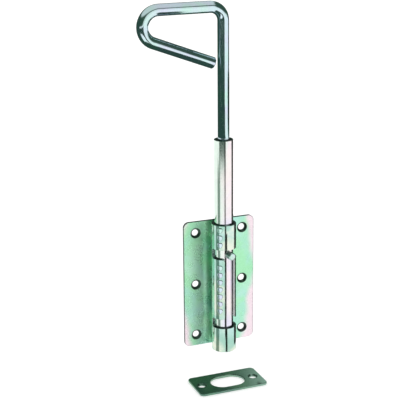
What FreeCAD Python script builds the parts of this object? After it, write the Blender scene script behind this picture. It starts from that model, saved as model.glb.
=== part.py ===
import FreeCAD, Part
import math
import os

# Cane bolt for a gate leaf. A back plate carries a slotted guide tube. A bolt made of a tube, a bent
# rod handle and a nose plug slides down through the guide into a strike plate on the ground.
# Frame: +X to the right, +Y into the gate leaf, +Z up. The origin is the middle of the back plate's
# rear face. A bearing is an angle round the bolt's axis, from the front (-Y) towards +X.
# All sizes are in millimetres and degrees, with the bolt drawn up and its stud in the long slot.

# Back plate
PLATE_WIDTH = 80.0
PLATE_HEIGHT = 140.0
PLATE_THICKNESS = 3.0
PLATE_CORNER_RADIUS = 6.0
PLATE_HOLE_DIAMETER = 7.0
PLATE_COUNTERSINK_DIAMETER = 11.5
PLATE_HOLE_TO_SIDE = 13.5
PLATE_HOLE_TO_END = 12.5
PLATE_HOLE_ROWS = 3
COUNTERSINK_ANGLE = 90.0
PRESSED_EDGE_RADIUS = 0.5

# Bolt tube, nose plug and bush
BOLT_TUBE_DIAMETER = 20.0
BOLT_TUBE_WALL = 2.0
BOLT_TUBE_ABOVE_GUIDE = 89.5
TUBE_EDGE_CHAMFER = 0.4
NOSE_HEIGHT = 4.0
NOSE_ROUND = 2.5
NOSE_SPIGOT_LENGTH = 12.0
NOSE_SPIGOT_CLEARANCE = 0.05
NOSE_SEAT_GAP = 0.1
BUSH_LENGTH = 22.0
BUSH_RECESS = 4.0

# Guide tube
GUIDE_CLEARANCE = 0.5
GUIDE_WALL = 2.5
COLLAR_HEIGHT = 27.0
CROSS_SLOT_HEIGHT = 10.5
LONG_SLOT_WIDTH = 12.0
SADDLE_HEIGHT = 67.0
LONG_SLOT_BEARING = 10.0
CROSS_SLOT_LEFT_BEARING = -92.0
PARK_SWING = 90.0
SLOT_CORNER_RADIUS = 2.5
WELD_RADIUS = 2.0
WELD_END_MARGIN = 3.5

# Locking stud
STUD_DIAMETER = 8.0
STUD_STANDS_PROUD = 4.0
STUD_ROOT = 1.5
STUD_TIP_CHAMFER = 0.8
STUD_REST_GAP = 0.25
STUD_PARK_GAP = 0.3

# Rod and handle
ROD_DIAMETER = 12.0
ROD_ABOVE_TUBE = 141.0
ROD_END_CHAMFER = 0.8
ROD_BEND_RADIUS = 14.0
HANDLE_REACH = 84.75
GRIP_BEND_RADIUS = 16.5
GRIP_ARM_DROOP = 20.8
GRIP_ARM_GAP = 4.5

# Floor strike
STRIKE_LENGTH = 78.0
STRIKE_DEPTH = 43.0
STRIKE_THICKNESS = 2.5
STRIKE_CORNER_RADIUS = 5.0
STRIKE_BELOW_GUIDE = 40.0
STRIKE_SHIFT = 4.0
STRIKE_SLOT_LENGTH = 38.0
STRIKE_SLOT_SIDE_GAP = 3.0
STRIKE_SLOT_CHAMFER = 0.6
STRIKE_HOLE_DIAMETER = 7.5
STRIKE_COUNTERSINK_DIAMETER = 10.5
STRIKE_HOLE_TO_END = 9.0

# Radii and places that follow from the sizes above
BOLT_RADIUS = BOLT_TUBE_DIAMETER / 2
BOLT_BORE_RADIUS = BOLT_RADIUS - BOLT_TUBE_WALL
GUIDE_BORE_RADIUS = BOLT_RADIUS + GUIDE_CLEARANCE
GUIDE_RADIUS = GUIDE_BORE_RADIUS + GUIDE_WALL
ROD_RADIUS = ROD_DIAMETER / 2
STUD_RADIUS = STUD_DIAMETER / 2
PLATE_FRONT = -PLATE_THICKNESS
AXIS_Y = PLATE_FRONT - GUIDE_RADIUS
GUIDE_TOP = PLATE_HEIGHT / 2
UPPER_SLOT_TOP = GUIDE_TOP - COLLAR_HEIGHT
SADDLE_TOP = UPPER_SLOT_TOP - CROSS_SLOT_HEIGHT
SADDLE_BOTTOM = SADDLE_TOP - SADDLE_HEIGHT
LOWER_COLLAR_TOP = SADDLE_BOTTOM - CROSS_SLOT_HEIGHT
GUIDE_BOTTOM = LOWER_COLLAR_TOP - COLLAR_HEIGHT
NOSE_BOTTOM = GUIDE_BOTTOM
BOLT_TUBE_BOTTOM = NOSE_BOTTOM + NOSE_HEIGHT + NOSE_SEAT_GAP
BOLT_TUBE_TOP = GUIDE_TOP + BOLT_TUBE_ABOVE_GUIDE
BUSH_TOP = BOLT_TUBE_TOP - BUSH_RECESS
BUSH_BOTTOM = BUSH_TOP - BUSH_LENGTH
GRIP_BAR_Z = BOLT_TUBE_TOP + ROD_ABOVE_TUBE - ROD_RADIUS
STUD_Z = SADDLE_TOP + STUD_REST_GAP + STUD_RADIUS
STRIKE_TOP = GUIDE_BOTTOM - STRIKE_BELOW_GUIDE

UP = FreeCAD.Vector(0, 0, 1)
TINY = 1e-6


def on_axis(z):
    """The point of the bolt's axis at height z."""
    return FreeCAD.Vector(0, AXIS_Y, z)


def outward(bearing):
    """The horizontal direction that a bearing round the bolt's axis points in."""
    angle = math.radians(bearing)
    return FreeCAD.Vector(math.sin(angle), -math.cos(angle), 0)


def cylinder(radius, bottom, top):
    """A solid cylinder on the bolt's axis."""
    return Part.makeCylinder(radius, top - bottom, on_axis(bottom), UP)


def tube(outer_radius, inner_radius, bottom, top):
    """A plain tube on the bolt's axis."""
    return cylinder(outer_radius, bottom, top).cut(cylinder(inner_radius, bottom, top))


def round_edges_at(shape, z, radius):
    """The circular edges of the given radius at height z."""
    chosen = []
    for edge in shape.Edges:
        if isinstance(edge.Curve, Part.Circle):
            if abs(edge.CenterOfMass.z - z) < TINY and abs(edge.Curve.Radius - radius) < TINY:
                chosen.append(edge)
    return chosen


def rounded_sheet(length, width, thickness, corner_radius):
    """A flat plate centred on the origin, with its thickness upwards from z = 0 and pressed edges."""
    sheet = Part.makeBox(length, width, thickness, FreeCAD.Vector(-length / 2, -width / 2, 0))
    corners = [edge for edge in sheet.Edges if abs(edge.tangentAt(edge.FirstParameter).z) > 0.5]
    sheet = sheet.makeFillet(corner_radius, corners)
    rim = [edge for edge in sheet.Edges if abs(edge.tangentAt(edge.FirstParameter).z) < 0.5]
    return sheet.makeFillet(PRESSED_EDGE_RADIUS, rim)


def countersunk_hole(x, y, thickness, hole_diameter, head_diameter):
    """The cutter for a screw hole whose head sits at the face z = thickness."""
    slope = math.tan(math.radians(COUNTERSINK_ANGLE / 2))
    sink = (head_diameter - hole_diameter) / 2 / slope
    shank = Part.makeCylinder(hole_diameter / 2, 3 * thickness, FreeCAD.Vector(x, y, -thickness), UP)
    spare = thickness
    head = Part.makeCone(hole_diameter / 2, head_diameter / 2 + spare * slope, sink + spare,
                         FreeCAD.Vector(x, y, thickness - sink), UP)
    return shank.fuse(head)


def back_plate():
    """The gate plate: two columns of countersunk screw holes, one each side of the guide."""
    sheet = rounded_sheet(PLATE_WIDTH, PLATE_HEIGHT, PLATE_THICKNESS, PLATE_CORNER_RADIUS)
    column = PLATE_WIDTH / 2 - PLATE_HOLE_TO_SIDE
    end_row = PLATE_HEIGHT / 2 - PLATE_HOLE_TO_END
    for side in (-1, 1):
        for row in range(PLATE_HOLE_ROWS):
            height = end_row - row * 2 * end_row / (PLATE_HOLE_ROWS - 1)
            hole = countersunk_hole(side * column, height, PLATE_THICKNESS,
                                    PLATE_HOLE_DIAMETER, PLATE_COUNTERSINK_DIAMETER)
            sheet = sheet.cut(hole)
    sheet.rotate(FreeCAD.Vector(0, 0, 0), FreeCAD.Vector(1, 0, 0), 90)
    return sheet


def cross_slot(bottom):
    """The cutter for one cross slot: round the front, from its left end to the stud's parking place."""
    stud_half_angle = math.degrees(math.asin((STUD_RADIUS + STUD_PARK_GAP) / GUIDE_BORE_RADIUS))
    right_bearing = LONG_SLOT_BEARING + PARK_SWING + stud_half_angle
    sweep = right_bearing - CROSS_SLOT_LEFT_BEARING
    slot = Part.makeCylinder(2 * GUIDE_RADIUS, CROSS_SLOT_HEIGHT, on_axis(bottom), UP, sweep)
    slot.rotate(on_axis(0), UP, CROSS_SLOT_LEFT_BEARING - 90)
    return slot


def guide_tube():
    """The guide: a collar at each end and a saddle between two cross slots joined by the long slot."""
    guide = tube(GUIDE_RADIUS, GUIDE_BORE_RADIUS, GUIDE_BOTTOM, GUIDE_TOP)
    long_slot = Part.makeBox(LONG_SLOT_WIDTH, 2 * GUIDE_RADIUS, SADDLE_HEIGHT + CROSS_SLOT_HEIGHT,
                             FreeCAD.Vector(-LONG_SLOT_WIDTH / 2, AXIS_Y - 2 * GUIDE_RADIUS,
                                            SADDLE_BOTTOM - CROSS_SLOT_HEIGHT / 2))
    long_slot.rotate(on_axis(0), UP, LONG_SLOT_BEARING)
    guide = guide.cut([cross_slot(SADDLE_TOP), cross_slot(LOWER_COLLAR_TOP), long_slot])
    corners = []
    for edge in guide.Edges:
        if isinstance(edge.Curve, Part.Line) and edge.Length < 2 * GUIDE_WALL:
            if abs(edge.tangentAt(edge.FirstParameter).z) < TINY:
                corners.append(edge)
    guide = guide.makeFillet(SLOT_CORNER_RADIUS, corners)
    rims = []
    for rim_z in (GUIDE_TOP, GUIDE_BOTTOM):
        for radius in (GUIDE_RADIUS, GUIDE_BORE_RADIUS):
            rims += round_edges_at(guide, rim_z, radius)
    return guide.makeChamfer(TUBE_EDGE_CHAMFER, rims)


def weld_beads(bottom, top):
    """Two weld beads in the corners between the guide tube and the plate, one each side."""
    contact_x = math.sqrt(GUIDE_RADIUS ** 2 - (GUIDE_RADIUS - WELD_RADIUS) ** 2)
    low = bottom + WELD_END_MARGIN + WELD_RADIUS
    high = top - WELD_END_MARGIN - WELD_RADIUS
    front_of_plate = Part.makeBox(4 * GUIDE_RADIUS, GUIDE_RADIUS, top - bottom,
                                  FreeCAD.Vector(-2 * GUIDE_RADIUS, PLATE_FRONT - GUIDE_RADIUS, bottom))
    beads = []
    for side in (-1, 1):
        start = FreeCAD.Vector(side * contact_x, PLATE_FRONT, low)
        end = FreeCAD.Vector(side * contact_x, PLATE_FRONT, high)
        bead = Part.makeCylinder(WELD_RADIUS, high - low, start, UP)
        bead = bead.fuse([Part.makeSphere(WELD_RADIUS, start), Part.makeSphere(WELD_RADIUS, end)])
        bead = bead.removeSplitter().common(front_of_plate).cut(cylinder(GUIDE_RADIUS, bottom, top))
        beads.append(max(bead.Solids, key=lambda solid: solid.Volume))
    return Part.makeCompound(beads)


def stud_cylinder(inner_end, outer_end, radius):
    """A cylinder along the locking stud's own axis, between two distances from the bolt's axis."""
    direction = outward(LONG_SLOT_BEARING)
    start = on_axis(STUD_Z) + direction * inner_end
    return Part.makeCylinder(radius, outer_end - inner_end, start, direction)


def locking_stud():
    """The stud fixed in the bolt tube's wall, with a chamfered tip outside the guide."""
    tip = GUIDE_RADIUS + STUD_STANDS_PROUD
    stud = stud_cylinder(BOLT_BORE_RADIUS - STUD_ROOT, tip, STUD_RADIUS)
    tip_point = on_axis(STUD_Z) + outward(LONG_SLOT_BEARING) * tip
    tip_edge = [edge for edge in stud.Edges if isinstance(edge.Curve, Part.Circle)
                and edge.Curve.Center.distanceToPoint(tip_point) < TINY]
    return stud.makeChamfer(STUD_TIP_CHAMFER, tip_edge)


def bolt_tube():
    """The sliding tube, drilled through one wall for the locking stud."""
    body = tube(BOLT_RADIUS, BOLT_BORE_RADIUS, BOLT_TUBE_BOTTOM, BOLT_TUBE_TOP)
    rims = []
    for radius in (BOLT_RADIUS, BOLT_BORE_RADIUS):
        rims += round_edges_at(body, BOLT_TUBE_TOP, radius)
    body = body.makeChamfer(TUBE_EDGE_CHAMFER, rims)
    return body.cut(stud_cylinder(0, 2 * BOLT_RADIUS, STUD_RADIUS))


def nose_plug():
    """The rounded nose that closes the tube's lower end, on a spigot inside the tube."""
    nose = cylinder(BOLT_RADIUS, NOSE_BOTTOM, NOSE_BOTTOM + NOSE_HEIGHT)
    nose = nose.makeFillet(NOSE_ROUND, round_edges_at(nose, NOSE_BOTTOM, BOLT_RADIUS))
    spigot_top = NOSE_BOTTOM + NOSE_HEIGHT + NOSE_SPIGOT_LENGTH
    spigot = cylinder(BOLT_BORE_RADIUS - NOSE_SPIGOT_CLEARANCE, NOSE_BOTTOM + NOSE_HEIGHT / 2, spigot_top)
    return nose.fuse(spigot).removeSplitter()


def rod_bush():
    """The bush that fills the space between the rod and the tube, set back from the tube's mouth."""
    return tube(BOLT_BORE_RADIUS, ROD_RADIUS, BUSH_BOTTOM, BUSH_TOP)


def handle_rod():
    """The round bar: up the bolt's axis, out to the left, round a wide bend and back towards itself."""
    bend_start = on_axis(GRIP_BAR_Z - ROD_BEND_RADIUS)
    bend_end = on_axis(GRIP_BAR_Z) + FreeCAD.Vector(-ROD_BEND_RADIUS, 0, 0)
    bend_centre = on_axis(GRIP_BAR_Z - ROD_BEND_RADIUS) + FreeCAD.Vector(-ROD_BEND_RADIUS, 0, 0)
    half = math.sqrt(0.5) * ROD_BEND_RADIUS
    bend_middle = bend_centre + FreeCAD.Vector(half, 0, half)

    grip_centre = FreeCAD.Vector(GRIP_BEND_RADIUS - HANDLE_REACH, AXIS_Y, GRIP_BAR_Z - GRIP_BEND_RADIUS)
    grip_start = grip_centre + FreeCAD.Vector(0, 0, GRIP_BEND_RADIUS)
    grip_middle = grip_centre + FreeCAD.Vector(-GRIP_BEND_RADIUS, 0, 0)
    droop = math.radians(GRIP_ARM_DROOP)
    arm_direction = FreeCAD.Vector(math.cos(droop), 0, -math.sin(droop))
    arm_start = grip_centre + FreeCAD.Vector(-math.sin(droop), 0, -math.cos(droop)) * GRIP_BEND_RADIUS
    arm_length = (-ROD_RADIUS - GRIP_ARM_GAP - arm_start.x) / math.cos(droop)
    arm_end = arm_start + arm_direction * arm_length

    path = Part.Wire([
        Part.LineSegment(on_axis(BUSH_BOTTOM), bend_start).toShape(),
        Part.Arc(bend_start, bend_middle, bend_end).toShape(),
        Part.LineSegment(bend_end, grip_start).toShape(),
        Part.Arc(grip_start, grip_middle, arm_start).toShape(),
        Part.LineSegment(arm_start, arm_end).toShape(),
    ])
    section = Part.Wire([Part.makeCircle(ROD_RADIUS, on_axis(BUSH_BOTTOM), UP)])
    rod = path.makePipeShell([section], True, False)
    ends = [edge for edge in rod.Edges if isinstance(edge.Curve, Part.Circle)
            and min(edge.Curve.Center.distanceToPoint(on_axis(BUSH_BOTTOM)),
                    edge.Curve.Center.distanceToPoint(arm_end)) < TINY]
    return rod.makeChamfer(ROD_END_CHAMFER, ends)


def strike_slot(radius):
    """The cutter for the strike's round-ended slot, longer along X than its own width."""
    half = STRIKE_SLOT_LENGTH / 2 - radius
    height = 3 * STRIKE_THICKNESS
    low = -STRIKE_THICKNESS
    straight = Part.makeBox(2 * half, 2 * radius, height, FreeCAD.Vector(-half, -radius, low))
    ends = [Part.makeCylinder(radius, height, FreeCAD.Vector(side * half, 0, low), UP) for side in (-1, 1)]
    return straight.fuse(ends)


def floor_strike():
    """The ground plate: a round-ended slot for the bolt's nose between two countersunk screw holes."""
    strike = rounded_sheet(STRIKE_LENGTH, STRIKE_DEPTH, STRIKE_THICKNESS, STRIKE_CORNER_RADIUS)
    slot_radius = BOLT_RADIUS + STRIKE_SLOT_SIDE_GAP
    strike = strike.cut(strike_slot(slot_radius))
    lip = []
    for edge in strike.Edges:
        box = edge.BoundBox
        if box.ZMin > STRIKE_THICKNESS - TINY and max(-box.YMin, box.YMax) < slot_radius + TINY:
            lip.append(edge)
    strike = strike.makeChamfer(STRIKE_SLOT_CHAMFER, lip)
    for side in (-1, 1):
        hole_x = side * (STRIKE_LENGTH / 2 - STRIKE_HOLE_TO_END)
        hole = countersunk_hole(hole_x, 0, STRIKE_THICKNESS,
                                STRIKE_HOLE_DIAMETER, STRIKE_COUNTERSINK_DIAMETER)
        strike = strike.cut(hole)
    strike.translate(FreeCAD.Vector(STRIKE_SHIFT, AXIS_Y, STRIKE_TOP - STRIKE_THICKNESS))
    return strike


NODES = {
    "back_plate": back_plate,
    "guide_tube": guide_tube,
    "upper_welds": lambda: weld_beads(UPPER_SLOT_TOP, GUIDE_TOP),
    "lower_welds": lambda: weld_beads(GUIDE_BOTTOM, LOWER_COLLAR_TOP),
    "bolt_tube": bolt_tube,
    "nose_plug": nose_plug,
    "rod_bush": rod_bush,
    "handle_rod": handle_rod,
    "locking_stud": locking_stud,
    "floor_strike": floor_strike,
}

os.makedirs("parts", exist_ok=True)
for name, make in NODES.items():
    shape = make()
    shape.exportStep("parts/" + name + ".step")
    print(name, "valid" if shape.isValid() else "NOT VALID", len(shape.Solids), "solids",
          round(shape.Volume, 1), "mm3")
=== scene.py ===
import logging
import math
from dataclasses import dataclass
from enum import Enum
from typing import Any, Optional, Sequence, Union

import bpy
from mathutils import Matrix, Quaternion, Vector


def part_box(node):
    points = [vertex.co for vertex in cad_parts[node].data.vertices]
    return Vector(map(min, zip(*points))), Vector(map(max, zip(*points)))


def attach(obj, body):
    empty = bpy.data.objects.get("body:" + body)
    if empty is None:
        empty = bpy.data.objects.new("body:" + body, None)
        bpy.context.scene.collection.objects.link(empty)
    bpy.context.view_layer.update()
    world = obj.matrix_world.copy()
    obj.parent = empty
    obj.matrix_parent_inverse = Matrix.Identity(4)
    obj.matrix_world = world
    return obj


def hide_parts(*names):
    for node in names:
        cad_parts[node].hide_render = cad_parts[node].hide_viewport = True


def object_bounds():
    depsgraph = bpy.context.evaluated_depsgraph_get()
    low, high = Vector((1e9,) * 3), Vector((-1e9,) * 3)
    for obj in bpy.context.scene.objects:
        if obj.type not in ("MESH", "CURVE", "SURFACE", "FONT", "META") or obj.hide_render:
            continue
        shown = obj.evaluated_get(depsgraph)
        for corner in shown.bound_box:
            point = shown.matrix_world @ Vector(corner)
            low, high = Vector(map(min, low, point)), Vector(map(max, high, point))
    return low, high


# A zinc-plated cane bolt for a gate. A back plate carries a slotted guide tube, the bolt slides and
# turns in the guide, and a bent rod is its handle. Metres, +X right, +Y into the gate leaf, +Z up.
# A bearing is an angle round the bolt's axis, from the front (-Y) towards +X.

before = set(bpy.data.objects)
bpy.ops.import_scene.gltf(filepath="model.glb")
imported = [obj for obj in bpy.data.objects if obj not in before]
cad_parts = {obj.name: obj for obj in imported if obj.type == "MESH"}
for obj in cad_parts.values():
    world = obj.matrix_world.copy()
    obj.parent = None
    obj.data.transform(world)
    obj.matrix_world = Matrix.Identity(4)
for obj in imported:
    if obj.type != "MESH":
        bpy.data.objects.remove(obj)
cad_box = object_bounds()

MM = 0.001

log = logging.getLogger("cane_bolt")

Setting = Union[bpy.types.NodeSocket, float, Sequence[float], bpy.types.Material, int]


class Body(Enum):
    """The bodies of the frame that the new pieces ride on."""

    MOUNTING = "mounting"


class Slot(Enum):
    """The record's material slots."""

    PLATE = "plate_zinc"
    GUIDE = "guide_zinc"
    WELD = "weld_zinc"
    BOLT = "bolt_zinc"
    ROD = "rod_zinc"
    STUD = "stud_zinc"
    STRIKE = "strike_zinc"


def linear(red: int, green: int, blue: int) -> tuple[float, float, float, float]:
    """Turns a display colour into the linear colour that a shader socket takes.

    Args:
        red: Red, 0 to 255.
        green: Green, 0 to 255.
        blue: Blue, 0 to 255.

    Returns:
        The linear colour with an alpha of 1.
    """
    parts = []
    for value in (red / 255, green / 255, blue / 255):
        parts.append(value / 12.92 if value <= 0.04045 else ((value + 0.055) / 1.055) ** 2.4)
    return (parts[0], parts[1], parts[2], 1.0)


class Tint(Enum):
    """The colours that a passivated zinc coat shows, and the painted shade on the guide's back and
    on cut and recessed faces.
    """

    LEAF = linear(168, 232, 186)
    MINT = linear(190, 236, 214)
    AQUA = linear(178, 224, 232)
    LILAC = linear(214, 212, 236)
    ROSE = linear(244, 226, 234)
    SEA = linear(162, 206, 190)
    CREAM = linear(244, 240, 222)
    STEEL = linear(202, 216, 214)
    GLASS = linear(192, 225, 223)
    SKY = linear(204, 224, 232)
    PEARL = linear(240, 232, 230)
    PALE = linear(220, 234, 224)
    TEAL = linear(120, 164, 158)
    # Painted shade: the dark tint that the guide's back and right side fade to.
    PAINTED_SHADE = linear(84, 108, 100)
    # Near black for cut faces: partly sawn metal, partly painted shade in countersinks, bores, rims
    # and slot walls.
    SAWN_AND_SHADE = linear(46, 54, 52)
    WORN = linear(226, 230, 232)


class Tree:
    """A shader or geometry node tree that is being built."""

    def __init__(self, tree: bpy.types.NodeTree) -> None:
        """Wraps the tree.

        Args:
            tree: The node tree to build in.
        """
        self.tree = tree

    @classmethod
    def group(cls, name: str, kind: str) -> "Tree":
        """A new, empty node group of the given tree type."""
        return cls(bpy.data.node_groups.new(name, kind))

    def socket(self, name: str, kind: str, default: Any = None, is_output: bool = False) -> None:
        """Adds a socket to the group's interface.

        Args:
            name: The socket's name.
            kind: The socket's type, such as NodeSocketFloat.
            default: The socket's default value, or None.
            is_output: True for an output.
        """
        way = "OUTPUT" if is_output else "INPUT"
        made = self.tree.interface.new_socket(name=name, in_out=way, socket_type=kind)
        if default is not None:
            made.default_value = default

    def node(self, kind: str, inputs: Optional[dict[Any, Setting]] = None,
             **settings: Any) -> bpy.types.Node:
        """Adds a node, sets its properties, and links or sets its inputs.

        Args:
            kind: The node's type.
            inputs: Values or source sockets, by the input's name or index.
            settings: The node's properties.

        Returns:
            The new node.
        """
        made = self.tree.nodes.new(kind)
        for name, value in settings.items():
            setattr(made, name, value)
        for key, value in (inputs or {}).items():
            self.feed(made.inputs[key], value)
        return made

    def feed(self, target: bpy.types.NodeSocket, value: Setting) -> None:
        """Links a source socket to an input, or sets the input's own value.

        Args:
            target: The input.
            value: The value or the source socket.
        """
        if isinstance(value, bpy.types.NodeSocket):
            self.tree.links.new(value, target)
        else:
            target.default_value = value

    def maths(self, operation: str, first: Setting, second: Setting = 0.0) -> bpy.types.NodeSocket:
        """Adds a Math node in either kind of tree and returns its result."""
        return self.node("ShaderNodeMath", {0: first, 1: second}, operation=operation).outputs[0]

    def clamped(self, value: Setting, low: Setting, high: Setting) -> bpy.types.NodeSocket:
        """Adds a smooth step of a value. It works falling too, with low above high.

        Args:
            value: The value.
            low: Where the step is 0.
            high: Where the step is 1.

        Returns:
            The step's result.
        """
        made = self.node("ShaderNodeMapRange", {"Value": value, "From Min": low, "From Max": high},
                         interpolation_type="SMOOTHSTEP")
        return made.outputs["Result"]

    def noise(self, vector: Setting, scale: Setting, detail: float,
              **others: Setting) -> bpy.types.NodeSocket:
        """Adds a noise texture and returns its value.

        Args:
            vector: The place to read the noise at.
            scale: The noise's scale.
            detail: The noise's detail.
            others: Other inputs by name. A W makes the noise four-dimensional.

        Returns:
            The noise's value.
        """
        inputs = {"Vector": vector, "Scale": scale, "Detail": detail, **others}
        kind = "4D" if "W" in others else "3D"
        return self.node("ShaderNodeTexNoise", inputs, noise_dimensions=kind).outputs["Fac"]

    def looking(self, direction: Setting) -> bpy.types.NodeSocket:
        """Adds the share of a face's own normal that lies along a direction.

        Args:
            direction: The direction, in the piece's own axes.

        Returns:
            The share, from -1 to 1.
        """
        normal = self.node("ShaderNodeNewGeometry").outputs["True Normal"]
        turned = self.node("ShaderNodeVectorTransform", {"Vector": normal}, vector_type="NORMAL",
                           convert_from="WORLD", convert_to="OBJECT")
        return self.dot(turned.outputs["Vector"], direction)

    def mixed(self, amount: Setting, first: Setting, second: Setting) -> bpy.types.NodeSocket:
        """Adds a colour mix.

        Args:
            amount: The share of the second colour.
            first: The first colour.
            second: The second colour.

        Returns:
            The mixed colour.
        """
        made = self.node("ShaderNodeMix", data_type="RGBA")
        for key, value in (("Factor_Float", amount), ("A_Color", first), ("B_Color", second)):
            self.feed(next(socket for socket in made.inputs if socket.identifier == key), value)
        return next(socket for socket in made.outputs if socket.identifier == "Result_Color")

    def dot(self, first: Setting, second: Setting) -> bpy.types.NodeSocket:
        """Adds a dot product and returns its value."""
        made = self.node("ShaderNodeVectorMath", {0: first, 1: second}, operation="DOT_PRODUCT")
        return made.outputs["Value"]

    def scaled(self, vector: Setting, factors: Setting) -> bpy.types.NodeSocket:
        """Adds a component by component product and returns it."""
        made = self.node("ShaderNodeVectorMath", {0: vector, 1: factors}, operation="MULTIPLY")
        return made.outputs["Vector"]


@dataclass
class ZincShaders:
    """The shader groups that every zinc finish is made with.

    Scales are in patches or lines per metre. A pair is where a mask starts and ends.
    """

    patch_edge: tuple[float, float] = (0.42, 0.66)
    patch_roughness: float = 0.55
    patch_distortion: float = 0.6
    seed_step: float = 7.3
    fade_wander: float = 0.022
    speck_scale: float = 900.0
    speck_strength: float = 0.10
    cloud_scale: float = 130.0
    cloud_strength: float = 0.14
    plain_shade: float = 0.88
    fine_line_share: float = 0.6
    fine_line_roughness: float = 0.6
    wide_line_share: float = 0.4
    wide_line_scale: float = 0.25
    line_edge: tuple[float, float] = (0.3, 0.7)
    wear_edge: tuple[float, float] = (0.01, 0.12)
    wear_patch_scale: float = 260.0
    wear_patch_edge: tuple[float, float] = (0.35, 0.6)
    tool_mark_scale: tuple[float, float, float] = (2600.0, 160.0, 900.0)
    lip_edge: tuple[float, float] = (0.88, 0.96)

    def __post_init__(self) -> None:
        """Builds the groups once."""
        self.coat = self.build_coat()
        self.drawn = self.build_drawn()
        self.edges = self.build_edges()
        self.cut = self.build_cut()
        self.lip = self.build_lip()

    def build_coat(self) -> bpy.types.NodeTree:
        """Builds the clouded colour of a passivated coat: patches of three tints, and a fading side
        that is the coat's tint on most pieces and painted shade on the guide.

        Returns:
            The node group, with a Color and a Cloud output.
        """
        tree = Tree.group("zinc_coat", "ShaderNodeTree")
        tree.socket("Vector", "NodeSocketVector")
        for name in ("Main", "Second", "Third", "Fade"):
            tree.socket(name, "NodeSocketColor", Tint.MINT.value)
        tree.socket("Patch Scale", "NodeSocketFloat", 20.0)
        tree.socket("Second Amount", "NodeSocketFloat", 0.5)
        tree.socket("Third Amount", "NodeSocketFloat", 0.5)
        tree.socket("Fade Centre", "NodeSocketVector", (0.0, 0.0, 0.0))
        tree.socket("Fade Weights", "NodeSocketVector", (0.0, 0.0, 0.0))
        tree.socket("Fade Start", "NodeSocketFloat", 0.0)
        tree.socket("Fade End", "NodeSocketFloat", 1.0)
        tree.socket("Seed", "NodeSocketFloat", 0.0)
        tree.socket("Color", "NodeSocketColor", is_output=True)
        tree.socket("Cloud", "NodeSocketFloat", is_output=True)
        given = tree.node("NodeGroupInput").outputs
        place = given["Vector"]
        made = given["Main"]
        for step, tint in enumerate(("Second", "Third")):
            noise = tree.noise(place, given["Patch Scale"], 3.0,
                               W=tree.maths("ADD", given["Seed"], self.seed_step * step),
                               Roughness=self.patch_roughness, Distortion=self.patch_distortion)
            patch = tree.clamped(noise, *self.patch_edge)
            amount = tree.maths("MULTIPLY", patch, given[tint + " Amount"])
            made = tree.mixed(amount, made, given[tint])
        offset = tree.node("ShaderNodeVectorMath", {0: place, 1: given["Fade Centre"]},
                           operation="SUBTRACT").outputs["Vector"]
        away = tree.node("ShaderNodeVectorMath", {0: offset}, operation="ABSOLUTE")
        along = tree.dot(away.outputs["Vector"], given["Fade Weights"])
        wander = tree.noise(place, given["Patch Scale"], 2.0, W=given["Seed"])
        sway = tree.maths("MULTIPLY", tree.maths("SUBTRACT", wander, 0.5), self.fade_wander)
        faded = tree.clamped(tree.maths("ADD", along, sway), given["Fade Start"], given["Fade End"])
        made = tree.mixed(faded, made, given["Fade"])
        speck = tree.noise(place, self.speck_scale, 2.0)
        cloud = tree.noise(place, self.cloud_scale, 4.0)
        light = tree.maths("ADD", tree.maths("MULTIPLY", speck, self.speck_strength),
                           tree.maths("MULTIPLY", cloud, self.cloud_strength))
        shade = tree.maths("ADD", light, self.plain_shade)
        toned = tree.node("ShaderNodeVectorMath", {0: made, "Scale": shade}, operation="SCALE")
        tree.node("NodeGroupOutput", {"Color": toned.outputs["Vector"], "Cloud": cloud})
        return tree.tree

    def build_drawn(self) -> bpy.types.NodeTree:
        """Builds the fine lines that drawing or rolling leaves along a piece.

        Returns:
            The node group, with a Lines output from 0 to 1.
        """
        tree = Tree.group("drawn_lines", "ShaderNodeTree")
        tree.socket("Vector", "NodeSocketVector")
        tree.socket("Line Scale", "NodeSocketVector", (1.0, 1.0, 1.0))
        tree.socket("Seed", "NodeSocketFloat", 0.0)
        tree.socket("Lines", "NodeSocketFloat", is_output=True)
        given = tree.node("NodeGroupInput").outputs
        stretched = tree.scaled(given["Vector"], given["Line Scale"])
        fine = tree.noise(stretched, 1.0, 3.0, W=given["Seed"], Roughness=self.fine_line_roughness)
        wide = tree.noise(stretched, self.wide_line_scale, 1.0, W=given["Seed"])
        both = tree.maths("ADD", tree.maths("MULTIPLY", fine, self.fine_line_share),
                          tree.maths("MULTIPLY", wide, self.wide_line_share))
        tree.node("NodeGroupOutput", {"Lines": tree.clamped(both, *self.line_edge)})
        return tree.tree

    def build_edges(self) -> bpy.types.NodeTree:
        """Builds the wear along a piece's edges, broken up by noise.

        Returns:
            The node group, with a Wear mask from 0 to 1 and the softened Normal.
        """
        tree = Tree.group("edge_wear", "ShaderNodeTree")
        tree.socket("Vector", "NodeSocketVector")
        tree.socket("Width", "NodeSocketFloat", 0.0006)
        tree.socket("Amount", "NodeSocketFloat", 0.6)
        tree.socket("Wear", "NodeSocketFloat", is_output=True)
        tree.socket("Normal", "NodeSocketVector", is_output=True)
        given = tree.node("NodeGroupInput").outputs
        bevel = tree.node("ShaderNodeBevel", {"Radius": given["Width"]}, samples=4)
        flat = tree.node("ShaderNodeNewGeometry").outputs["Normal"]
        turned = tree.maths("SUBTRACT", 1.0, tree.dot(bevel.outputs["Normal"], flat))
        patchy = tree.noise(given["Vector"], self.wear_patch_scale, 3.0)
        broken = tree.maths("MULTIPLY", tree.clamped(turned, *self.wear_edge),
                            tree.clamped(patchy, *self.wear_patch_edge))
        tree.node("NodeGroupOutput", {"Wear": tree.maths("MULTIPLY", broken, given["Amount"]),
                                      "Normal": bevel.outputs["Normal"]})
        return tree.tree

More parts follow.
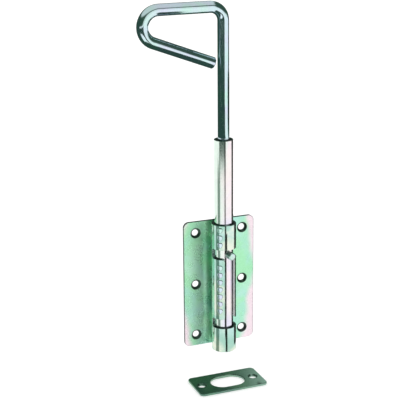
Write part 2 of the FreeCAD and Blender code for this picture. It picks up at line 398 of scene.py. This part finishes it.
    def build_cut(self) -> bpy.types.NodeTree:
        """Builds the mask of the darkened faces, told by the way that they look: sawn ends, and
        countersinks, bores, rims and slot walls, where the dark is partly painted shade.

        Returns:
            The node group, with a Cut mask and the tool's Marks, both from 0 to 1.
        """
        tree = Tree.group("cut_and_shade_face", "ShaderNodeTree")
        tree.socket("Vector", "NodeSocketVector")
        tree.socket("Direction", "NodeSocketVector", (0.0, 0.0, 1.0))
        tree.socket("From", "NodeSocketFloat", 0.85)
        tree.socket("To", "NodeSocketFloat", 0.97)
        tree.socket("Cut", "NodeSocketFloat", is_output=True)
        tree.socket("Marks", "NodeSocketFloat", is_output=True)
        given = tree.node("NodeGroupInput").outputs
        facing = tree.maths("ABSOLUTE", tree.looking(given["Direction"]))
        lines = tree.noise(tree.scaled(given["Vector"], self.tool_mark_scale), 1.0, 2.0)
        tree.node("NodeGroupOutput", {"Cut": tree.clamped(facing, given["From"], given["To"]),
                                      "Marks": lines})
        return tree.tree

    def build_lip(self) -> bpy.types.NodeTree:
        """Builds the mask of a slot's pale, milled lip, told by its place and the way it looks.

        Returns:
            The node group, with a Lip mask from 0 to 1.
        """
        tree = Tree.group("milled_lip", "ShaderNodeTree")
        tree.socket("Vector", "NodeSocketVector")
        tree.socket("Direction", "NodeSocketVector", (0.0, 0.0, 0.0))
        tree.socket("Start", "NodeSocketFloat", 0.0)
        tree.socket("Lip", "NodeSocketFloat", is_output=True)
        given = tree.node("NodeGroupInput").outputs
        facing = tree.clamped(tree.looking(given["Direction"]), *self.lip_edge)
        across = tree.node("ShaderNodeSeparateXYZ", {0: given["Vector"]}).outputs["X"]
        beyond = tree.maths("GREATER_THAN", across, given["Start"])
        tree.node("NodeGroupOutput", {"Lip": tree.maths("MULTIPLY", facing, beyond)})
        return tree.tree


# How a coat's clouds and a cut face change the gloss, how high a tool's marks stand against the
# drawn lines, and how far a milled lip is from a mirror.
CLOUD_ROUGHNESS = 0.03
CUT_ROUGHNESS = 0.22
CUT_MARK_HEIGHT = 4.0
LIP_DULLNESS = 0.9


@dataclass(frozen=True)
class ZincFinish:
    """A zinc-plated and passivated surface.

    Sizes are in metres. Line scale says how closely the drawn lines lie in X, Y and Z: they run
    along the direction with the small number. A face is cut, and so dull and dark, as the share of
    its normal along the cut direction goes from cut_from to cut_to; its dark is partly sawn metal
    and partly painted shade on countersinks, bores, rims and slot walls. The fade tint grows with
    the weighted distance from the fade centre, from fade_start to fade_end; on the guide it is
    painted shade. A slot's pale lip, if there is one, lies right of lip_start and looks along
    lip_direction.
    """

    slot: Slot
    main: Tint
    second: Tint
    third: Tint
    fade: Tint = Tint.ROSE
    patch_scale: float = 22.0
    second_amount: float = 0.7
    third_amount: float = 0.7
    fade_centre: tuple[float, float, float] = (0.0, 0.0, 0.0)
    fade_weights: tuple[float, float, float] = (0.0, 0.0, 0.0)
    fade_start: float = 0.02
    fade_end: float = 0.04
    line_scale: tuple[float, float, float] = (1400.0, 1400.0, 14.0)
    line_depth: float = 0.000012
    roughness: float = 0.16
    roughness_range: float = 0.10
    cut_direction: tuple[float, float, float] = (0.0, 0.0, 0.0)
    cut_from: float = 0.85
    cut_to: float = 0.97
    cut_and_shade_amount: float = 0.85
    has_lip: bool = False
    lip_direction: tuple[float, float, float] = (0.0, 0.0, 0.0)
    lip_start: float = 0.0
    wear_width: float = 0.0005
    wear_amount: float = 0.7
    seed: float = 0.0

    def material(self, shaders: ZincShaders) -> bpy.types.Material:
        """Builds the finish as a material.

        Args:
            shaders: The shared shader groups.

        Returns:
            The new material.
        """
        made = bpy.data.materials.new(self.slot.value)
        made.use_nodes = True
        made.node_tree.nodes.clear()
        tree = Tree(made.node_tree)
        place = tree.node("ShaderNodeTexCoord").outputs["Object"]
        coat = tree.node("ShaderNodeGroup", {
            "Vector": place, "Main": self.main.value, "Second": self.second.value,
            "Third": self.third.value, "Fade": self.fade.value, "Patch Scale": self.patch_scale,
            "Second Amount": self.second_amount, "Third Amount": self.third_amount,
            "Fade Centre": self.fade_centre, "Fade Weights": self.fade_weights,
            "Fade Start": self.fade_start, "Fade End": self.fade_end, "Seed": self.seed,
        }, node_tree=shaders.coat)
        drawn = tree.node("ShaderNodeGroup", {
            "Vector": place, "Line Scale": self.line_scale, "Seed": self.seed,
        }, node_tree=shaders.drawn)
        edges = tree.node("ShaderNodeGroup", {
            "Vector": place, "Width": self.wear_width, "Amount": self.wear_amount,
        }, node_tree=shaders.edges)
        cut = tree.node("ShaderNodeGroup", {
            "Vector": place, "Direction": self.cut_direction, "From": self.cut_from,
            "To": self.cut_to,
        }, node_tree=shaders.cut)
        cut_and_shade_mask = tree.maths("MULTIPLY", cut.outputs["Cut"], self.cut_and_shade_amount)

        colour = tree.mixed(edges.outputs["Wear"], coat.outputs["Color"], Tint.WORN.value)
        # Cut faces go near black: partly sawn metal, partly painted shade in countersinks, bores,
        # rims and slot walls.
        colour = tree.mixed(cut_and_shade_mask, colour, Tint.SAWN_AND_SHADE.value)
        metal = 1.0
        if self.has_lip:
            lip = tree.node("ShaderNodeGroup", {
                "Vector": place, "Direction": self.lip_direction, "Start": self.lip_start,
            }, node_tree=shaders.lip).outputs["Lip"]
            colour = tree.mixed(lip, colour, Tint.WORN.value)
            metal = tree.maths("SUBTRACT", 1.0, tree.maths("MULTIPLY", lip, LIP_DULLNESS))
        rough = tree.maths("MULTIPLY", drawn.outputs["Lines"], self.roughness_range)
        rough = tree.maths("ADD", self.roughness, rough)
        clouded = tree.maths("MULTIPLY", coat.outputs["Cloud"], CLOUD_ROUGHNESS)
        sawn = tree.maths("MULTIPLY", cut_and_shade_mask, CUT_ROUGHNESS)
        rough = tree.maths("ADD", tree.maths("ADD", rough, clouded), sawn)
        marks = tree.maths("MULTIPLY", tree.maths("MULTIPLY", cut_and_shade_mask, cut.outputs["Marks"]),
                           CUT_MARK_HEIGHT)
        bump = tree.node("ShaderNodeBump", {
            "Height": tree.maths("ADD", drawn.outputs["Lines"], marks), "Strength": 1.0,
            "Distance": self.line_depth, "Normal": edges.outputs["Normal"],
        })
        shader = tree.node("ShaderNodeBsdfPrincipled", {
            "Base Color": colour, "Metallic": metal, "Roughness": rough,
            "Normal": bump.outputs["Normal"],
        })
        tree.node("ShaderNodeOutputMaterial", {"Surface": shader.outputs["BSDF"]})
        return made


ALONG_Z = (1400.0, 1400.0, 14.0)
ALONG_ROD = (18.0, 1500.0, 18.0)
ROLLED = (26.0, 26.0, 1200.0)
UPWARD = (0.0, 0.0, 1.0)
INWARD = (0.0, 1.0, 0.0)
SLOT_SIDE = (-0.985, -0.174, 0.0)

FINISHES = (
    ZincFinish(Slot.PLATE, Tint.LEAF, Tint.MINT, Tint.AQUA, patch_scale=26.0, third_amount=0.5,
               fade_centre=(-0.003, 0.0, 0.01), fade_weights=(1.0, 0.0, 0.2), fade_start=0.040,
               fade_end=0.049, line_scale=ROLLED, line_depth=0.0, roughness=0.26,
               roughness_range=0.0, cut_direction=INWARD, cut_from=0.95, cut_to=0.78,
               wear_width=0.0007, seed=1.0),
    # The guide's fade is painted shade: its back and right side, towards the plate, darken to the
    # dark fade tint.
    ZincFinish(Slot.GUIDE, Tint.SEA, Tint.GLASS, Tint.CREAM, fade=Tint.PAINTED_SHADE, patch_scale=34.0,
               fade_centre=(-0.010, -0.029, 0.0), fade_weights=(1.0, 1.0, 0.0), fade_start=0.021,
               fade_end=0.030, line_scale=ALONG_Z, roughness=0.07, roughness_range=0.06,
               cut_direction=UPWARD, has_lip=True, lip_direction=SLOT_SIDE, lip_start=0.006,
               seed=2.0),
    ZincFinish(Slot.WELD, Tint.TEAL, Tint.STEEL, Tint.ROSE, patch_scale=180.0, line_scale=ALONG_Z,
               roughness=0.3, wear_amount=0.0, seed=3.0),
    ZincFinish(Slot.BOLT, Tint.PEARL, Tint.ROSE, Tint.LILAC, fade=Tint.PALE, patch_scale=20.0,
               fade_centre=(0.010, 0.0, 0.0), fade_weights=(1.0, 0.0, 0.0), fade_start=0.010,
               fade_end=0.018, line_scale=ALONG_Z, roughness=0.07, roughness_range=0.06,
               cut_direction=UPWARD, seed=4.0),
    ZincFinish(Slot.ROD, Tint.SKY, Tint.LILAC, Tint.MINT, patch_scale=26.0, line_scale=ALONG_ROD,
               roughness=0.07, roughness_range=0.06, seed=5.0),
    ZincFinish(Slot.STUD, Tint.STEEL, Tint.LILAC, Tint.MINT, patch_scale=90.0, line_scale=ALONG_Z,
               roughness=0.22, seed=6.0),
    ZincFinish(Slot.STRIKE, Tint.LEAF, Tint.STEEL, Tint.TEAL, fade=Tint.MINT, patch_scale=30.0,
               second_amount=0.3, fade_centre=(-0.035, 0.0, 0.0), fade_weights=(1.0, 0.0, 0.0),
               fade_start=0.045, fade_end=0.075, line_scale=ROLLED, line_depth=0.0000012,
               roughness=0.08, roughness_range=0.04, cut_direction=UPWARD, cut_from=0.95,
               cut_to=0.78, cut_and_shade_amount=0.5, wear_width=0.0007, seed=7.0),
)


class Finishes:
    """The zinc materials, one for each slot of the record."""

    def __init__(self) -> None:
        """Builds the shared groups and every material."""
        shaders = ZincShaders()
        self.made = {finish.slot: finish.material(shaders) for finish in FINISHES}

    def dress(self, name: str, slot: Slot) -> None:
        """Gives a CAD node its finish.

        Args:
            name: The node's name.
            slot: The material slot whose finish it takes.
        """
        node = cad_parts[name]
        for index in range(len(node.material_slots)):
            node.material_slots[index].material = self.made[slot]
        log.info("%s: packed shape, finish %s", name, slot.value)


@dataclass
class NodeMadePiece:
    """A piece whose mesh comes from a geometry node tree."""

    name: str
    body: Body
    slot: Slot

    def make(self, tree: bpy.types.NodeTree, values: dict[str, Any],
             finishes: Finishes) -> bpy.types.Object:
        """Runs the tree with its inputs set and keeps the result as a plain mesh.

        Args:
            tree: The geometry node tree.
            values: The tree's inputs by name.
            finishes: The materials.

        Returns:
            The finished piece, riding on its body.
        """
        holder = bpy.data.objects.new(self.name, bpy.data.meshes.new(self.name + "_start"))
        bpy.context.scene.collection.objects.link(holder)
        modifier = holder.modifiers.new("shape", "NODES")
        modifier.node_group = tree
        identifiers = {item.name: item.identifier for item in tree.interface.items_tree
                       if item.in_out == "INPUT"}
        for name, value in values.items():
            modifier[identifiers[name]] = value
        modifier[identifiers["Finish"]] = finishes.made[self.slot]
        shown = holder.evaluated_get(bpy.context.evaluated_depsgraph_get())
        mesh = bpy.data.meshes.new_from_object(shown)
        holder.modifiers.remove(modifier)
        holder.data = mesh
        mesh.name = self.name
        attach(holder, self.body.value)
        log.info("%s: %d faces, rides %s", self.name, len(mesh.polygons), self.body.value)
        return holder


@dataclass
class WeldBeads:
    """The rippled weld beads in the corners between the guide tube and the plate."""

    bead_radius: float = 2.1 * MM
    side_offset: float = 6.9 * MM
    stand_off: float = 0.9 * MM
    ripple_pitch: float = 1.15 * MM
    ripple_flatness: float = 0.62
    size_spread: float = 0.07
    first_seed: int = 11
    segments: int = 20
    rings: int = 12

    def tree(self) -> bpy.types.NodeTree:
        """Builds the tree that lays overlapping ripples along one line each side of the tube.

        Returns:
            The geometry node group.
        """
        tree = Tree.group("weld_ripples", "GeometryNodeTree")
        for name, kind in (("Low End", "NodeSocketVector"), ("High End", "NodeSocketVector"),
                           ("Side Step", "NodeSocketVector"), ("Pitch", "NodeSocketFloat"),
                           ("Bead Radius", "NodeSocketFloat"), ("Ripple Shape", "NodeSocketVector"),
                           ("Spread", "NodeSocketFloat"), ("Seed", "NodeSocketInt"),
                           ("Finish", "NodeSocketMaterial")):
            tree.socket(name, kind)
        tree.socket("Geometry", "NodeSocketGeometry", is_output=True)
        given = tree.node("NodeGroupInput").outputs
        line = tree.node("GeometryNodeCurvePrimitiveLine", {"Start": given["Low End"],
                                                            "End": given["High End"]})
        other = tree.node("GeometryNodeTransform", {"Geometry": line.outputs["Curve"],
                                                    "Translation": given["Side Step"]})
        lines = tree.node("GeometryNodeJoinGeometry")
        tree.feed(lines.inputs["Geometry"], line.outputs["Curve"])
        tree.feed(lines.inputs["Geometry"], other.outputs["Geometry"])
        points = tree.node("GeometryNodeResampleCurve", {"Curve": lines.outputs["Geometry"],
                                                         "Length": given["Pitch"]}, mode="LENGTH")
        ball = tree.node("GeometryNodeMeshUVSphere", {"Segments": self.segments,
                                                      "Rings": self.rings,
                                                      "Radius": given["Bead Radius"]})
        ripple = tree.node("GeometryNodeTransform", {"Geometry": ball.outputs["Mesh"],
                                                     "Scale": given["Ripple Shape"]})
        low = tree.maths("SUBTRACT", 1.0, given["Spread"])
        high = tree.maths("ADD", 1.0, given["Spread"])
        size = tree.node("FunctionNodeRandomValue", data_type="FLOAT")
        for socket in size.inputs:
            if socket.identifier == "Min_001":
                tree.feed(socket, low)
            elif socket.identifier == "Max_001":
                tree.feed(socket, high)
            elif socket.identifier == "Seed":
                tree.feed(socket, given["Seed"])
        placed = tree.node("GeometryNodeInstanceOnPoints", {"Points": points.outputs["Curve"],
                                                            "Instance": ripple.outputs["Geometry"],
                                                            "Scale": size.outputs[1]})
        solid = tree.node("GeometryNodeRealizeInstances", {"Geometry": placed.outputs["Instances"]})
        smooth = tree.node("GeometryNodeSetShadeSmooth", {"Geometry": solid.outputs["Geometry"]})
        dressed = tree.node("GeometryNodeSetMaterial", {"Geometry": smooth.outputs["Geometry"],
                                                        "Material": given["Finish"]})
        tree.node("NodeGroupOutput", {"Geometry": dressed.outputs["Geometry"]})
        return tree.tree

    def build(self, finishes: Finishes) -> None:
        """Makes the beads of both collars in place of the plain ones.

        Args:
            finishes: The materials.
        """
        tree = self.tree()
        plate_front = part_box("back_plate")[0].y
        line_y = plate_front - self.stand_off
        for seed, node in enumerate(("upper_welds", "lower_welds")):
            low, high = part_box(node)
            middle = (low.x + high.x) / 2
            bottom = low.z + self.bead_radius
            top = high.z - self.bead_radius
            values = {"Low End": (middle - self.side_offset, line_y, bottom),
                      "High End": (middle - self.side_offset, line_y, top),
                      "Side Step": (2 * self.side_offset, 0.0, 0.0), "Pitch": self.ripple_pitch,
                      "Bead Radius": self.bead_radius,
                      "Ripple Shape": (1.0, 1.0, self.ripple_flatness),
                      "Spread": self.size_spread, "Seed": self.first_seed + seed}
            piece = NodeMadePiece(node + "_ripples", Body.MOUNTING, Slot.WELD)
            beads = piece.make(tree, values, finishes)
            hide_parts(node)


@dataclass
class PressMarks:
    """The column of chevrons pressed up on the guide's front left, painted lighter as a highlight.
    """

    bearing: float = math.radians(-41.0)
    width: float = 6.2 * MM
    height: float = 6.2 * MM
    relief: float = 0.22 * MM
    pitch: float = 8.1 * MM
    chevron: float = 0.3
    end_margin: float = 5.2 * MM
    segments: int = 24
    rings: int = 10

    def tree(self) -> bpy.types.NodeTree:
        """Builds the tree that repeats one chevron up a line and wraps the column round the tube.

        Returns:
            The geometry node group.
        """
        tree = Tree.group("press_marks", "GeometryNodeTree")
        for name, kind in (("Count", "NodeSocketInt"), ("Pitch", "NodeSocketFloat"),
                           ("First Height", "NodeSocketFloat"), ("Mark Size", "NodeSocketVector"),
                           ("Chevron", "NodeSocketFloat"), ("Tube Radius", "NodeSocketFloat"),
                           ("Tube Axis", "NodeSocketVector"), ("Bearing", "NodeSocketFloat"),
                           ("Finish", "NodeSocketMaterial")):
            tree.socket(name, kind)
        tree.socket("Geometry", "NodeSocketGeometry", is_output=True)
        given = tree.node("NodeGroupInput").outputs
        start = tree.node("ShaderNodeCombineXYZ", {"Y": given["First Height"]}).outputs[0]
        step = tree.node("ShaderNodeCombineXYZ", {"Y": given["Pitch"]}).outputs[0]
        points = tree.node("GeometryNodeMeshLine", {"Count": given["Count"], "Offset": step,
                                                    "Start Location": start})
        ball = tree.node("GeometryNodeMeshUVSphere", {"Segments": self.segments, "Radius": 1.0,
                                                      "Rings": self.rings})
        lens = tree.node("GeometryNodeTransform", {"Geometry": ball.outputs["Mesh"],
                                                   "Scale": given["Mark Size"]})
        place = tree.node("GeometryNodeInputPosition").outputs[0]
        here = tree.node("ShaderNodeSeparateXYZ", {0: place})
        drop = tree.maths("MULTIPLY", tree.maths("ABSOLUTE", here.outputs["X"]), given["Chevron"])
        lift = tree.node("ShaderNodeCombineXYZ", {"Y": drop}).outputs[0]
        bent = tree.node("GeometryNodeSetPosition", {"Geometry": lens.outputs["Geometry"],
                                                     "Offset": lift})
        placed = tree.node("GeometryNodeInstanceOnPoints", {"Points": points.outputs["Mesh"],
                                                            "Instance": bent.outputs["Geometry"]})
        solid = tree.node("GeometryNodeRealizeInstances", {"Geometry": placed.outputs["Instances"]})
        wrapped = self.wrap(tree, given, place)
        round_tube = tree.node("GeometryNodeSetPosition", {"Geometry": solid.outputs["Geometry"],
                                                           "Position": wrapped})
        smooth = tree.node("GeometryNodeSetShadeSmooth",
                           {"Geometry": round_tube.outputs["Geometry"]})
        dressed = tree.node("GeometryNodeSetMaterial", {"Geometry": smooth.outputs["Geometry"],
                                                        "Material": given["Finish"]})
        tree.node("NodeGroupOutput", {"Geometry": dressed.outputs["Geometry"]})
        return tree.tree

    def wrap(self, tree: Tree, given: Any, place: bpy.types.NodeSocket) -> bpy.types.NodeSocket:
        """Adds the nodes that roll a flat column, drawn in X and Y, round the tube.

        Args:
            tree: The tree to build in.
            given: The tree's inputs.
            place: The flat place.

        Returns:
            The place on the tube.
        """
        flat = tree.node("ShaderNodeSeparateXYZ", {0: place}).outputs
        axis = tree.node("ShaderNodeSeparateXYZ", {0: given["Tube Axis"]}).outputs
        angle = tree.maths("ADD", given["Bearing"],
                           tree.maths("DIVIDE", flat["X"], given["Tube Radius"]))
        reach = tree.maths("ADD", given["Tube Radius"], flat["Z"])
        across = tree.maths("ADD", axis["X"],
                            tree.maths("MULTIPLY", reach, tree.maths("SINE", angle)))
        forward = tree.maths("SUBTRACT", axis["Y"],
                             tree.maths("MULTIPLY", reach, tree.maths("COSINE", angle)))
        wrapped = tree.node("ShaderNodeCombineXYZ", {"X": across, "Y": forward, "Z": flat["Y"]})
        return wrapped.outputs[0]

    def build(self, finishes: Finishes, fields: Sequence[tuple[str, float, float]]) -> None:
        """Makes one column of marks for each plain part of the guide.

        Args:
            finishes: The materials.
            fields: The name, bottom and top of each part of the guide that carries marks.
        """
        tree = self.tree()
        low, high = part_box("guide_tube")
        radius = (high.x - low.x) / 2
        axis = ((low.x + high.x) / 2, low.y + radius, 0.0)
        for name, bottom, top in fields:
            room = top - bottom - 2 * self.end_margin
            count = int(room / self.pitch) + 1
            first = bottom + self.end_margin + (room - (count - 1) * self.pitch) / 2
            values = {"Count": count, "Pitch": self.pitch, "First Height": first,
                      "Mark Size": (self.width / 2, self.height / 2, self.relief),
                      "Chevron": self.chevron, "Tube Radius": radius, "Tube Axis": axis,
                      "Bearing": self.bearing}
            # The marks take the rod's lighter finish: a painted highlight that makes them glint
            # brighter than the guide.
            NodeMadePiece(name, Body.MOUNTING, Slot.ROD).make(tree, values, finishes)


@dataclass
class Mounting:
    """The back plate with its guide tube and welds, which the gate carries."""

    collar_height: float = 27.0 * MM
    cross_slot_height: float = 10.5 * MM

    def build(self, finishes: Finishes) -> None:
        """Dresses the plate and guide and adds the welds and press marks.

        Args:
            finishes: The materials.
        """
        finishes.dress("back_plate", Slot.PLATE)
        finishes.dress("guide_tube", Slot.GUIDE)
        WeldBeads().build(finishes)
        bottom, top = (corner.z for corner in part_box("guide_tube"))
        saddle_bottom = bottom + self.collar_height + self.cross_slot_height
        saddle_top = top - self.collar_height - self.cross_slot_height
        PressMarks().build(finishes, (("collar_marks", top - self.collar_height, top),
                                      ("saddle_marks", saddle_bottom, saddle_top)))


@dataclass
class SlidingBolt:
    """The tube, nose, bush and stud that slide in the guide, and the bent rod, their handle."""

    pieces: tuple[tuple[str, Slot], ...] = (
        ("bolt_tube", Slot.BOLT), ("nose_plug", Slot.BOLT), ("rod_bush", Slot.BOLT),
        ("locking_stud", Slot.STUD), ("handle_rod", Slot.ROD))

    def build(self, finishes: Finishes) -> None:
        """Dresses every piece of the bolt."""
        for name, slot in self.pieces:
            finishes.dress(name, slot)


@dataclass
class FloorStrike:
    """The ground plate that the bolt's nose drops into."""

    plate: str = "floor_strike"

    def build(self, finishes: Finishes) -> None:
        """Dresses the strike plate."""
        finishes.dress(self.plate, Slot.STRIKE)


class Level(Enum):
    """The heights that the reflection flags are hung from."""

    FLOOR = "floor"
    MOUTH = "mouth"


class Cloth(Enum):
    """The cloths that the reflection flags are made of."""

    BLACK = (0.02, 0.025, 0.022, 1.0)
    TEAL = (0.036, 0.078, 0.060, 1.0)
    SAGE = (0.26, 0.34, 0.30, 1.0)


@dataclass(frozen=True)
class Flag:
    """A strip of cloth swept round the bolt's axis that only shows in reflections.

    Bearings are in degrees. Radii and heights are in metres, from the strip's first edge to its
    other edge, and the heights are above the level.
    """

    name: str
    bearings: tuple[float, float]
    radii: tuple[float, float]
    heights: tuple[float, float]
    level: Level
    cloth: Cloth


FLAGS = (
    Flag("flag_left", (-196.0, -75.0), (0.30, 0.30), (0.0015, 0.24), Level.MOUTH, Cloth.TEAL),
    Flag("flag_shelf", (-295.0, -75.0), (0.0075, 0.36), (0.0015, 0.0015), Level.MOUTH, Cloth.TEAL),
    Flag("flag_shelf_near", (-75.0, 8.0), (0.0075, 0.16), (0.0015, 0.0015), Level.MOUTH,
         Cloth.TEAL),
    Flag("flag_front_left", (-75.0, 3.0), (0.93, 4.0), (0.006, 0.006), Level.FLOOR, Cloth.TEAL),
    Flag("flag_front_gap", (-13.0, 0.0), (0.13, 1.6), (0.008, 0.008), Level.FLOOR, Cloth.BLACK),
    Flag("flag_front_strip", (-9.0, 5.0), (0.043, 0.043), (0.012, 0.166), Level.FLOOR,
         Cloth.BLACK),
    Flag("flag_left_gap", (-100.0, -66.0), (0.05, 0.9), (0.008, 0.008), Level.FLOOR, Cloth.SAGE),
    Flag("flag_right", (78.0, 118.0), (0.06, 0.06), (0.026, 0.40), Level.FLOOR, Cloth.BLACK),
)


@dataclass
class Surround:
    """The soft surroundings: white to the eye, and graded by direction in reflections.

    A pair is where a light starts and where it is full, as a share of the direction's own axis.
    """

    dim: tuple[float, float, float, float] = (0.046, 0.092, 0.066, 1.0)
    white: tuple[float, float, float, float] = (1.0, 1.0, 1.0, 1.0)
    overhead_rise: tuple[float, float] = (0.80, 0.90)
    upper_rise: tuple[float, float] = (0.50, 0.66)
    upper_across: tuple[float, float] = (0.60, 0.45)
    top_strength: float = 0.75
    front_way: tuple[float, float, float] = (0.50, -0.86, 0.0)
    front_facing: tuple[float, float] = (0.60, 0.85)
    front_rise: tuple[float, float] = (0.16, 0.04)
    middle_rise: tuple[float, float] = (0.42, 0.30)
    middle_across: tuple[float, float] = (0.50, 0.42)
    back_way: tuple[float, float, float] = (0.399, 0.917, 0.0)
    back_facing: tuple[float, float] = (0.2, 0.5)
    side_way: tuple[float, float, float] = (0.917, -0.399, 0.0)
    side_start: tuple[float, float] = (-0.01, 0.05)
    side_end: tuple[float, float] = (0.16, 0.08)
    back_strength: float = 0.6

    def build(self) -> None:
        """Sets the surroundings as the scene's world."""
        world = bpy.data.worlds.new("soft_studio")
        world.use_nodes = True
        world.node_tree.nodes.clear()
        tree = Tree(world.node_tree)
        level = self.level(tree, tree.node("ShaderNodeTexCoord").outputs["Generated"])
        shown = tree.node("ShaderNodeLightPath").outputs
        plain = tree.maths("MAXIMUM", shown["Is Camera Ray"], shown["Is Diffuse Ray"])
        graded = tree.mixed(tree.maths("MAXIMUM", level, plain), self.dim, self.white)
        light = tree.node("ShaderNodeBackground", {"Color": graded, "Strength": 1.0})
        tree.node("ShaderNodeOutputWorld", {"Surface": light.outputs[0]})
        bpy.context.scene.world = world

    def level(self, tree: Tree, way: bpy.types.NodeSocket) -> bpy.types.NodeSocket:
        """Adds the nodes that say how light each direction is in a reflection.

        Args:
            tree: The world's tree.
            way: The direction.

        Returns:
            The level, from 0 to 1.
        """
        parts = tree.node("ShaderNodeSeparateXYZ", {0: way}).outputs
        rise = parts["Z"]
        across = parts["X"]
        upper = tree.maths("MULTIPLY", tree.clamped(rise, *self.upper_rise),
                           tree.clamped(across, *self.upper_across))
        overhead = tree.clamped(rise, *self.overhead_rise)
        top = tree.maths("MULTIPLY", tree.maths("MAXIMUM", overhead, upper), self.top_strength)
        middle = tree.maths("MULTIPLY", tree.clamped(rise, *self.middle_rise),
                            tree.clamped(across, *self.middle_across))
        height = tree.maths("MAXIMUM", tree.clamped(rise, *self.front_rise), middle)
        facing = tree.clamped(tree.dot(way, self.front_way), *self.front_facing)
        front = tree.maths("MULTIPLY", facing, height)
        behind = tree.clamped(tree.dot(way, self.back_way), *self.back_facing)
        sideways = tree.dot(way, self.side_way)
        side = tree.maths("MULTIPLY", tree.clamped(sideways, *self.side_start),
                          tree.clamped(sideways, *self.side_end))
        back = tree.maths("MULTIPLY", tree.maths("MULTIPLY", behind, side), self.back_strength)
        return tree.maths("MAXIMUM", tree.maths("MAXIMUM", top, front), back)


@dataclass
class Studio:
    """The floor, the soft light and the camera."""

    floor_half: float = 12.0
    floor_gap: float = 0.2 * MM
    floor_white: tuple[float, float, float, float] = (0.86, 0.86, 0.86, 1.0)
    floor_glow: float = 0.35
    flag_step: float = 5.0
    lens: float = 103.55
    camera_place: tuple[float, float, float] = (-0.4409, -1.0701, 0.4415)
    camera_target: tuple[float, float, float] = (-0.02635, -0.01585, 0.09748)
    camera_roll: float = math.radians(-0.488)

    def glow(self, name: str, cloth: Cloth) -> bpy.types.Material:
        """Builds a plain material that gives off a cloth's even colour.

        Args:
            name: The material's name.
            cloth: The cloth.

        Returns:
            The new material.
        """
        made = bpy.data.materials.new(name)
        made.use_nodes = True
        made.node_tree.nodes.clear()
        tree = Tree(made.node_tree)
        light = tree.node("ShaderNodeEmission", {"Color": cloth.value})
        tree.node("ShaderNodeOutputMaterial", {"Surface": light.outputs[0]})
        return made

    def add_mesh(self, name: str, points: list[tuple[float, float, float]],
                 faces: list[list[int]], material: bpy.types.Material) -> bpy.types.Object:
        """Adds a stage mesh.

        Args:
            name: The object's name.
            points: The corners.
            faces: The faces, as lists of corner numbers.
            material: The mesh's material.

        Returns:
            The new stage object.
        """
        mesh = bpy.data.meshes.new(name)
        mesh.from_pydata(points, [], faces)
        mesh.materials.append(material)
        made = bpy.data.objects.new(name, mesh)
        bpy.context.scene.collection.objects.link(made)
        return made

    def build_floor(self, height: float) -> None:
        """Lays the pale floor that the strike stands on.

        Args:
            height: The floor's height.
        """
        material = bpy.data.materials.new("pale_floor")
        material.use_nodes = True
        material.node_tree.nodes.clear()
        tree = Tree(material.node_tree)
        base = tree.node("ShaderNodeBsdfDiffuse", {"Color": self.floor_white})
        light = tree.node("ShaderNodeEmission", {"Color": (1.0, 1.0, 1.0, 1.0),
                                                 "Strength": self.floor_glow})
        both = tree.node("ShaderNodeAddShader", {0: base.outputs[0], 1: light.outputs[0]})
        tree.node("ShaderNodeOutputMaterial", {"Surface": both.outputs[0]})
        half = self.floor_half
        self.add_mesh("studio_floor", [(-half, -half, height), (half, -half, height),
                                       (half, half, height), (-half, half, height)],
                      [[0, 1, 2, 3]], material)

    def build_flag(self, flag: Flag, axis: Vector, levels: dict[Level, float]) -> None:
        """Hangs one flag.

        Args:
            flag: The flag's shape and cloth.
            axis: The bolt's axis.
            levels: The height of each level.
        """
        start, end = flag.bearings
        steps = max(2, int(abs(end - start) / self.flag_step))
        points = []
        faces = []
        for index in range(steps + 1):
            bearing = math.radians(start + (end - start) * index / steps)
            for radius, height in zip(flag.radii, flag.heights):
                points.append((axis.x + radius * math.sin(bearing),
                               axis.y - radius * math.cos(bearing), levels[flag.level] + height))
            if index:
                faces.append([2 * index - 2, 2 * index - 1, 2 * index + 1, 2 * index])
        made = self.add_mesh(flag.name, points, faces, self.glow(flag.name, flag.cloth))
        made.visible_camera = False
        made.visible_diffuse = False
        made.visible_shadow = False

    def build_camera(self) -> None:
        """Aims the level camera at its target, then rolls it by the small angle that it needs."""
        data = bpy.data.cameras.new("camera")
        data.lens = self.lens
        data.sensor_width = 36.0
        data.clip_start = 0.01
        data.clip_end = 100.0
        made = bpy.data.objects.new("camera", data)
        place = Vector(self.camera_place)
        level = (Vector(self.camera_target) - place).to_track_quat("-Z", "Y")
        made.rotation_mode = "QUATERNION"
        made.rotation_quaternion = level @ Quaternion((0.0, 0.0, 1.0), self.camera_roll)
        made.location = place
        bpy.context.scene.collection.objects.link(made)
        bpy.context.scene.camera = made

    def build(self) -> None:
        """Builds the whole stage."""
        height = cad_box[0].z - self.floor_gap
        low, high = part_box("guide_tube")
        radius = (high.x - low.x) / 2
        axis = Vector(((low.x + high.x) / 2, low.y + radius, 0.0))
        self.build_floor(height)
        levels = {Level.FLOOR: height, Level.MOUTH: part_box("bolt_tube")[1].z}
        for flag in FLAGS:
            self.build_flag(flag, axis, levels)
        Surround().build()
        self.build_camera()
        bpy.context.scene.view_settings.view_transform = "Standard"
        log.info("studio: floor at %.4f m, %d flags", height, len(FLAGS))


def main() -> None:
    """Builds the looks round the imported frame, then the studio."""
    logging.basicConfig(level=logging.INFO, format="%(name)s: %(message)s")
    finishes = Finishes()
    Mounting().build(finishes)
    SlidingBolt().build(finishes)
    FloorStrike().build(finishes)
    Studio().build()
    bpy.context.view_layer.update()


if __name__ == "__main__":
    main()
